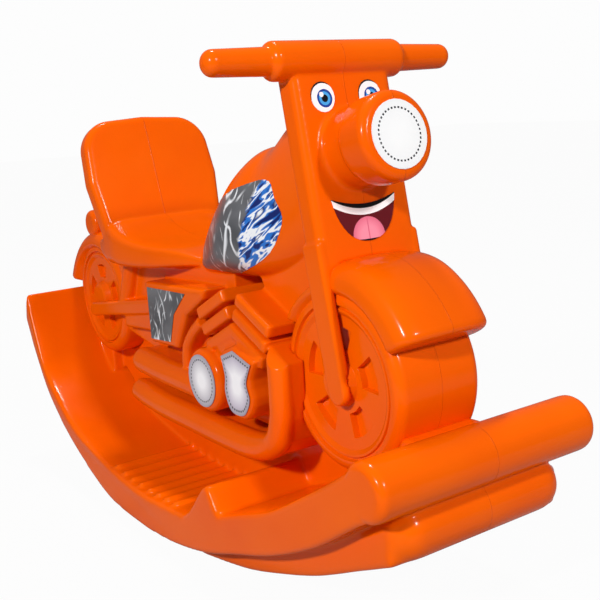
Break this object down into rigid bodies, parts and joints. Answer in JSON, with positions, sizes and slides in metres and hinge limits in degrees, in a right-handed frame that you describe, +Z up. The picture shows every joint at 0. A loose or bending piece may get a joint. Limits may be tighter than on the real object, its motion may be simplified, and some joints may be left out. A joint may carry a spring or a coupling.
{
  "type": "rocking motorcycle",
  "caption": "Child's ride-on rocker shaped as a motorcycle on a curved rocker deck, with seat, backrest, handlebar and printed decals.",
  "frame": {"origin": "on the floor, at the middle of the toy's width and length", "axes": "+Z up, -Y towards the front wheel, +X towards the rider's left"},
  "size_m": [0.31, 0.9058, 0.599],
  "materials": {
    "shell": "satin gloss orange",
    "face_print": "gloss printed film",
    "grey_print": "gloss printed film",
    "silver_print": "gloss printed film",
    "plug": "matte"
  },
  "bodies": {
    "root": {"rocker_base": "shell", "front_bar": "shell", "lower_roll": "shell", "centre_web": "shell", "front_plinth": "shell", "vent_plug": "plug", "front_wheel": "shell", "rear_wheel": "shell", "front_fender": "shell", "rear_fender": "shell", "tail_lamp": "shell", "fork_panel": "shell", "fork_leg_left": "shell", "fork_leg_right": "shell", "handlebar_sleeve": "shell", "grip_left": "shell", "grip_right": "shell", "headlight_drum": "shell", "fuel_tank": "shell", "seat": "shell", "backrest": "shell", "frame_body": "shell", "steering_neck": "shell", "side_cover_left": "shell", "side_cover_right": "shell", "swing_arm_left": "shell", "swing_arm_right": "shell", "shock_strut_left": "shell", "shock_strut_right": "shell", "engine_block": "shell", "rear_cylinder": "shell", "front_cylinder": "shell", "clutch_cover_left": "shell", "clutch_cover_right": "shell", "crankcase_cover_left": "shell", "crankcase_cover_right": "shell", "exhaust_lower_left": "shell", "exhaust_lower_right": "shell", "exhaust_upper_left": "shell", "exhaust_upper_right": "shell", "rear_header_left": "shell", "rear_header_right": "shell", "headlight_decal": "face_print", "eye_decal_left": "face_print", "eye_decal_right": "face_print", "mouth_decal": "face_print", "tank_decal_left": "grey_print", "tank_decal_right": "grey_print", "side_cover_decal_left": "grey_print", "side_cover_decal_right": "grey_print", "clutch_decal_left": "silver_print", "clutch_decal_right": "silver_print", "crankcase_decal_left": "silver_print", "crankcase_decal_right": "silver_print"}
  },
  "joints": []
}
